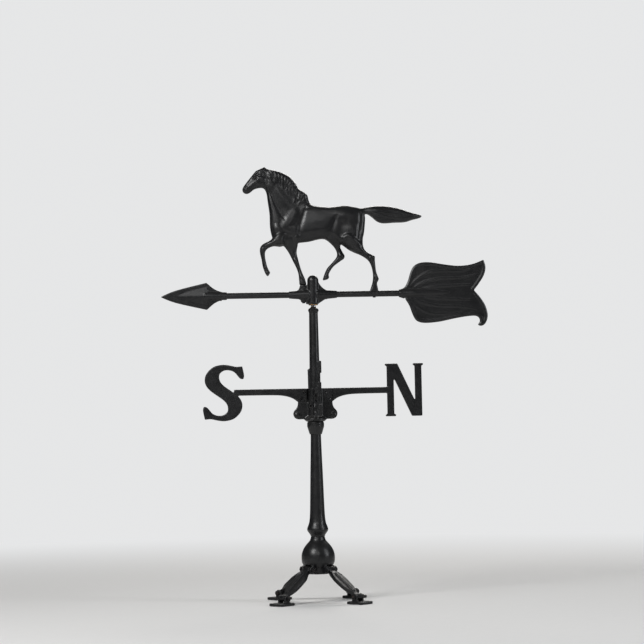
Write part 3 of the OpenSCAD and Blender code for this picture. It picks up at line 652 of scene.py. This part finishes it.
class Paint:
    """One procedural material, with short names for the nodes it is made of."""

    def __init__(self, name):
        self.material = bpy.data.materials.new(name)
        self.material.use_nodes = True
        self.tree = self.material.node_tree
        self.shader = self.tree.nodes["Principled BSDF"]
        self.place = self.add("ShaderNodeTexCoord").outputs["Object"]
        self.geometry = self.add("ShaderNodeNewGeometry")

    def feed(self, socket, value):
        if isinstance(value, bpy.types.NodeSocket):
            self.tree.links.new(value, socket)
        else:
            socket.default_value = value

    def add(self, kind, inputs=(), **settings):
        made = self.tree.nodes.new(kind)
        for name, value in settings.items():
            setattr(made, name, value)
        for name, value in dict(inputs).items():
            self.feed(made.inputs[name], value)
        return made

    def noise(self, scale, detail=3.0, roughness=0.5, stretch=None):
        """Noise with `scale` features to the metre; stretch multiplies the scale along each axis."""
        place = self.place
        if stretch:
            place = self.add("ShaderNodeMapping", {"Vector": place, "Scale": stretch}).outputs["Vector"]
        inputs = {"Vector": place, "Scale": scale, "Detail": detail, "Roughness": roughness}
        return self.add("ShaderNodeTexNoise", inputs).outputs["Fac"]

    def remap(self, value, low, high, start=0.0, end=1.0):
        inputs = {"Value": value, "From Min": low, "From Max": high, "To Min": start, "To Max": end}
        return self.add("ShaderNodeMapRange", inputs, interpolation_type="SMOOTHSTEP").outputs["Result"]

    def combine(self, operation, a, b):
        made = self.add("ShaderNodeMath", operation=operation)
        self.feed(made.inputs[0], a)
        self.feed(made.inputs[1], b)
        return made.outputs[0]

    def times(self, a, b):
        return self.combine("MULTIPLY", a, b)

    def mix(self, share, a, b):
        """Colour a, or b where share is 1. The Mix node's colours go in at 6 and 7 and come out at 2."""
        made = self.add("ShaderNodeMix", data_type="RGBA")
        self.feed(made.inputs[0], share)
        self.feed(made.inputs[6], a)
        self.feed(made.inputs[7], b)
        return made.outputs[2]

    def upward(self):
        """1 on faces that look up, 0 on the others."""
        parts = self.add("ShaderNodeSeparateXYZ", {"Vector": self.geometry.outputs["Normal"]})
        return self.remap(parts.outputs["Z"], 0.35, 0.95)

    def edges(self, radius):
        """1 along sharp edges, found with a rounded normal."""
        rounded = self.add("ShaderNodeBevel", {"Radius": radius}, samples=4).outputs["Normal"]
        both = {0: rounded, 1: self.geometry.outputs["Normal"]}
        dot = self.add("ShaderNodeVectorMath", both, operation="DOT_PRODUCT").outputs["Value"]
        return self.remap(dot, 0.985, 0.9)

    def bump(self, layers):
        """Bumps from layers of (height map, depth in metres), one on top of another."""
        normal = None
        for height, depth in layers:
            made = self.add("ShaderNodeBump", {"Height": height, "Distance": depth, "Strength": 1.0})
            if normal is not None:
                self.feed(made.inputs["Normal"], normal)
            normal = made.outputs["Normal"]
        self.feed(self.shader.inputs["Normal"], normal)

    def shade(self, values):
        for name, value in values.items():
            self.feed(self.shader.inputs[name], value)


def black_coat(name, dense):
    """Satin black coating on cast aluminium. Dense meshes show wear by the mesh's own curvature."""
    paint = Paint(name)
    blotch = paint.noise(9, 4)
    mottle = paint.noise(55, 5, 0.6)
    grain = paint.noise(900, 2, 0.7)
    peel = paint.noise(260, 2, 0.4)
    streak = paint.noise(60, 4, 0.6, (1.0, 1.0, 0.07))
    if dense:
        point = paint.geometry.outputs["Pointiness"]
        edge = paint.remap(point, 0.53, 0.6)
        crease = paint.remap(point, 0.49, 0.43)
    else:
        edge = paint.edges(0.9 * MM)
        crease = 0.0
    wear = paint.times(edge, paint.remap(mottle, 0.5, 0.66))
    dust = paint.times(paint.upward(), paint.remap(blotch, 0.35, 0.7, 0.03, 0.14))
    dust = paint.combine("MAXIMUM", dust, paint.times(crease, 0.16))
    dust = paint.combine("MAXIMUM", dust, paint.remap(streak, 0.58, 0.8, 0.0, 0.08))
    coat = paint.mix(paint.remap(blotch, 0.3, 0.7), COAT_DARK, COAT_PALE)
    coat = paint.mix(dust, coat, DUST)
    coat = paint.mix(wear, coat, BARE_ALUMINIUM)
    rough = paint.remap(mottle, 0.3, 0.7, 0.3, 0.42)
    rough = paint.combine("ADD", rough, paint.times(dust, 1.2))
    paint.shade({"Base Color": coat, "Roughness": rough, "Metallic": paint.times(wear, 0.8),
                 "Specular IOR Level": 0.36, "Coat Weight": 0.1, "Coat Roughness": 0.2})
    paint.bump([(grain, 0.05 * MM), (peel, 0.16 * MM), (mottle, 0.25 * MM)])
    return paint.material


def black_oxide():
    """Oiled black steel of the fasteners, rubbed pale along its edges, with a little rust."""
    paint = Paint("black_oxide_steel")
    mottle = paint.noise(130, 4, 0.6)
    fine = paint.noise(1500, 2)
    edge = paint.times(paint.edges(0.5 * MM), paint.remap(mottle, 0.45, 0.6))
    color = paint.mix(paint.remap(mottle, 0.3, 0.7), OXIDE_DARK, OXIDE_PALE)
    color = paint.mix(edge, color, RUBBED_STEEL)
    rust = paint.remap(paint.noise(70, 5, 0.7), 0.6, 0.72)
    color = paint.mix(paint.times(rust, 0.5), color, RUST)
    rough = paint.combine("ADD", paint.remap(mottle, 0.3, 0.7, 0.28, 0.42), paint.times(rust, 0.3))
    metal = paint.remap(rust, 0.0, 1.0, 0.85, 0.3)
    paint.shade({"Base Color": color, "Roughness": rough, "Metallic": metal})
    paint.bump([(fine, 0.02 * MM), (mottle, 0.04 * MM)])
    return paint.material


def bare_metal(name, low, high, rings, pits):
    """Turned metal: colour from low to high, lathe rings to the metre along Z, and the share of dark pits."""
    paint = Paint(name)
    mottle = paint.noise(80, 4, 0.6)
    ring = paint.noise(rings, 2, 0.6, (0.02, 0.02, 1.0))
    pit = paint.remap(paint.noise(1400, 3), 0.62, 0.7, 0.0, pits)
    color = paint.mix(paint.remap(mottle, 0.3, 0.7), low, high)
    color = paint.mix(pit, color, PIT)
    rough = paint.combine("ADD", paint.remap(ring, 0.3, 0.7, 0.2, 0.38), paint.times(pit, 0.3))
    paint.shade({"Base Color": color, "Metallic": 1.0, "Roughness": rough})
    paint.bump([(ring, 0.012 * MM), (mottle, 0.03 * MM)])
    return paint.material


def floor_paint():
    """Pale matt board with a faint fleck, which fades into the backdrop's colour far from the object."""
    paint = Paint("pale_floor")
    fleck = paint.noise(40, 5, 0.7)
    color = paint.mix(fleck, FLOOR_DARK, FLOOR_PALE)
    paint.shade({"Base Color": color, "Roughness": 0.75, "Specular IOR Level": 0.2})
    paint.bump([(paint.noise(400, 3), 0.05 * MM)])
    reach = paint.add("ShaderNodeVectorMath", {0: paint.place}, operation="LENGTH").outputs["Value"]
    glow = paint.add("ShaderNodeEmission", {"Color": BACKDROP, "Strength": 1.0}).outputs["Emission"]
    seen = paint.add("ShaderNodeLightPath").outputs["Is Camera Ray"]
    far = paint.times(seen, paint.remap(reach, *FADE))
    fade = paint.add("ShaderNodeMixShader", {0: far, 1: paint.shader.outputs["BSDF"], 2: glow})
    paint.feed(paint.tree.nodes["Material Output"].inputs["Surface"], fade.outputs["Shader"])
    return paint.material


MATERIALS = {
    "black_casting": black_coat("satin_black_turned", False),
    "black_fastener": black_oxide(),
    "steel": bare_metal("turned_steel", (0.33, 0.33, 0.34, 1), (0.47, 0.47, 0.48, 1), 1200, 0.0),
    "bronze": bare_metal("oiled_bronze", (0.36, 0.2, 0.08, 1), (0.52, 0.33, 0.15, 1), 900, 0.7),
}
CAST_BLACK = black_coat("satin_black_cast", True)


# ---------- Pieces ----------

# Veins of the tail's upper half: points (x, z, half width). The lower half mirrors them.
TAIL_VEINS = [
    [(222, 10, 3), (240, 30, 3.2), (268, 47, 3), (310, 50, 2.6), (352, 50, 2.2), (392, 62, 1.8)],
    [(228, 7, 3), (256, 24, 3), (298, 32, 2.6), (345, 34, 2.2), (388, 42, 1.8)],
    [(236, 5, 3), (280, 13, 2.8), (330, 16, 2.2), (374, 18, 1.8)],
]
RIM_HEIGHT = 1.1
VEIN_HEIGHT = 1.6


def set_material(obj, material):
    obj.data.materials.clear()
    obj.data.materials.append(material)


def stand_for(piece, node):
    """Puts a new casting in the place of a CAD node: on the same body, in the cast satin black coat."""
    set_material(piece, CAST_BLACK)
    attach(piece, BODY_OF[node])
    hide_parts(node)


def tail_relief(xs, zs):
    """Raised rim and veins on the arrow's tail, in millimetres above its faces."""
    corner, normal = triangles("arrow_tail")
    edge = outline_distance(corner, normal, TAIL_EDGE, xs, zs)
    sheet = Sheet(xs[:, None], zs[None, :])
    relief = RIM_HEIGHT * step_up(-edge, 1.6, 3.4) * step_up(-edge, 8.0, 6.0)
    for points in TAIL_VEINS:
        for side in (-1, 1):
            vein = curve([(x, side * z, width) for x, z, width in points], 6)
            relief = np.maximum(relief, sheet.ridge(vein, VEIN_HEIGHT))
    # The socket and the taper behind it stay as they are
    socket = np.interp(sheet.x, [233, 333], [10, 3])
    clear = step_up(np.abs(sheet.z), socket, socket + 4) * step_up(sheet.x, 206, 216)
    return soften(relief * clear * step_up(-edge, 0.5, 2.2), 1)


def cast(node, voxel, fillet, relief=None):
    """A copy of a CAD node with a casting's soft edges. Inner corners fill out by `fillet` voxels, and
    `relief`, where given, is a function of x and z that raises both faces."""
    points, corners = cad_mesh(node)
    margin = (fillet + 3) * voxel
    block = Carving(points.min(0) - margin, points.max(0) + margin, voxel)
    band = 2.0 * fillet + 2
    places = np.ascontiguousarray((points - block.low) / voxel)
    level = openvdb.FloatGrid.createLevelSetFromPolygons(
        places, triangles=corners.astype(np.uint32), exBandWidth=band, inBandWidth=band)
    level.copyToArray(block.field)
    block.field *= voxel
    filled = soften(block.field, fillet)
    block.field = np.minimum(soften(block.field, 1), filled) if fillet > 1 else filled
    if relief:
        block.field -= relief(block.axes[0], block.axes[2] - ARROW_Z)[:, None, :]
    verts, faces = surface_net(block)
    stand_for(mesh_object(node + "_cast", verts * MM, faces), node)


TURNED_EDGE = 0.5  # width of the bevel on turned pieces
FASTENER_EDGE = 0.25  # and on fasteners and bearings


def break_edges(node, width):
    """Rounds a CAD node's sharp edges with modifiers and gives it its material."""
    obj = frame["nodes"][node]
    weld = obj.modifiers.new("weld", "WELD")
    weld.merge_threshold = 0.002 * MM
    bevel = obj.modifiers.new("bevel", "BEVEL")
    bevel.width = width * MM
    bevel.segments = 2
    bevel.limit_method = "ANGLE"
    bevel.angle_limit = math.radians(35)
    obj.modifiers.new("normals", "WEIGHTED_NORMAL")
    set_material(obj, MATERIALS[SLOT_OF[node]])


def horse():
    verts, faces = carve_horse(HORSE_STEP)
    stand_for(mesh_object("running_horse", verts, faces), "horse_figure")


def build_pieces():
    horse()
    legs = ["leg_" + corner for corner in CORNERS]
    feet = ["foot_" + corner for corner in CORNERS]
    cast("arrow_hub", 0.5, fillet=4)
    for node in ["compass_hub", "mount_head"]:
        cast(node, 0.8, fillet=3)
    cast("arrow_tail", 0.85, fillet=1, relief=tail_relief)
    for node in ["arrowhead", "north_arm", "south_arm", "east_arm", "west_arm"]:
        cast(node, 0.8, fillet=1)
    for node in legs + feet:
        cast(node, 0.7, fillet=2)
    for node in ["front_shaft", "rear_shaft", "mast_cap", "upper_mast", "lower_mast", "support_collar"]:
        break_edges(node, TURNED_EDGE)
    for node, slot in SLOT_OF.items():
        if slot != "black_casting":
            break_edges(node, FASTENER_EDGE)


# ---------- Studio ----------

FLOOR_HALF = 20.0  # half its width
FLOOR_Z = -0.0003  # just under the soles
VIEW_TURN = 3.0  # the camera stands this many degrees to the left of straight on
VIEW_RISE = 3.5  # and looks up by this many
VIEW_ROLL = 1.15  # the picture leans this many to the left
VIEW_DISTANCE = 4.5
VIEW_WIDTH = 1.492  # what the picture spans at the mast
AIM = Vector((0.0195, 0.0, 0.6432))  # what the picture is centred on
LIT_POINT = Vector((0.0, 0.0, 0.55))  # where all softboxes aim
ROOM_COLOR = (0.9, 0.95, 1.0, 1)
ROOM_STRENGTH = 0.07

# Softboxes: place, width, height, watts, colour
SOFTBOXES = [
    ((-2.0, -2.2, 2.4), 1.3, 1.3, 84, (1.0, 1.0, 1.0)),
    ((-0.6, -4.6, 2.6), 2.4, 1.0, 30, (1.0, 1.0, 1.0)),
    ((2.6, -1.2, 1.5), 0.7, 2.0, 30, (0.95, 0.97, 1.0)),
    ((0.6, 2.8, 2.4), 2.0, 1.0, 50, (1.0, 0.98, 0.95)),
]


def keep_under_feet(floor):
    """Holds the floor at the height of the lowest foot, so that none sinks into it when a leg swings down."""
    group = bpy.data.node_groups.new("under_the_feet", "GeometryNodeTree")
    for way in ("INPUT", "OUTPUT"):
        group.interface.new_socket("Geometry", in_out=way, socket_type="NodeSocketGeometry")
    nodes, links = group.nodes, group.links
    feet = nodes.new("GeometryNodeJoinGeometry")
    for corner in CORNERS:
        foot = nodes.new("GeometryNodeObjectInfo")
        foot.transform_space = "RELATIVE"
        foot.inputs["Object"].default_value = bpy.data.objects["foot_" + corner + "_cast"]
        links.new(foot.outputs["Geometry"], feet.inputs["Geometry"])
    box = nodes.new("GeometryNodeBoundBox")
    lowest = nodes.new("ShaderNodeSeparateXYZ")
    offset = nodes.new("ShaderNodeCombineXYZ")
    move = nodes.new("GeometryNodeSetPosition")
    links.new(feet.outputs["Geometry"], box.inputs["Geometry"])
    links.new(box.outputs["Min"], lowest.inputs["Vector"])
    links.new(lowest.outputs["Z"], offset.inputs["Z"])
    links.new(offset.outputs["Vector"], move.inputs["Offset"])
    links.new(nodes.new("NodeGroupInput").outputs["Geometry"], move.inputs["Geometry"])
    links.new(move.outputs["Geometry"], nodes.new("NodeGroupOutput").inputs["Geometry"])
    floor.modifiers.new("under_the_feet", "NODES").node_group = group


def add_floor():
    corners = [(-1, -1), (1, -1), (1, 1), (-1, 1)]
    verts = np.array([(x * FLOOR_HALF, y * FLOOR_HALF, FLOOR_Z) for x, y in corners])
    floor = mesh_object("floor", verts, np.array([[0, 1, 2, 3]]), False)
    set_material(floor, floor_paint())
    keep_under_feet(floor)


def add_softbox(place, width, height, power, color):
    light = bpy.data.lights.new("softbox", "AREA")
    light.shape = "RECTANGLE"
    light.size = width
    light.size_y = height
    light.energy = power
    light.color = color
    obj = bpy.data.objects.new("softbox", light)
    obj.location = place
    obj.rotation_euler = (LIT_POINT - Vector(place)).to_track_quat("-Z", "Y").to_euler()
    bpy.context.scene.collection.objects.link(obj)


def add_world():
    """An even backdrop for the camera, and a dimmer room for the light."""
    world = bpy.data.worlds.new("studio")
    world.use_nodes = True
    tree = world.node_tree
    room = tree.nodes["Background"]
    room.inputs["Color"].default_value = ROOM_COLOR
    room.inputs["Strength"].default_value = ROOM_STRENGTH
    seen = tree.nodes.new("ShaderNodeBackground")
    seen.inputs["Color"].default_value = BACKDROP
    path = tree.nodes.new("ShaderNodeLightPath")
    choice = tree.nodes.new("ShaderNodeMixShader")
    tree.links.new(path.outputs["Is Camera Ray"], choice.inputs[0])
    tree.links.new(room.outputs["Background"], choice.inputs[1])
    tree.links.new(seen.outputs["Background"], choice.inputs[2])
    tree.links.new(choice.outputs["Shader"], tree.nodes["World Output"].inputs["Surface"])
    bpy.context.scene.world = world
    bpy.context.scene.view_settings.view_transform = "Standard"


def add_camera():
    turn, rise = math.radians(VIEW_TURN), math.radians(VIEW_RISE)
    ahead = Vector((math.sin(turn) * math.cos(rise), math.cos(turn) * math.cos(rise), math.sin(rise)))
    data = bpy.data.cameras.new("camera")
    data.sensor_width = 36.0
    data.lens = data.sensor_width * VIEW_DISTANCE / VIEW_WIDTH
    camera = bpy.data.objects.new("camera", data)
    camera.location = AIM - ahead * VIEW_DISTANCE
    upright = ahead.to_track_quat("-Z", "Y").to_matrix()
    camera.rotation_euler = (upright @ Matrix.Rotation(math.radians(-VIEW_ROLL), 3, "Z")).to_euler()
    bpy.context.scene.collection.objects.link(camera)
    bpy.context.scene.camera = camera


build_pieces()
add_floor()
for softbox in SOFTBOXES:
    add_softbox(*softbox)
add_world()
add_camera()
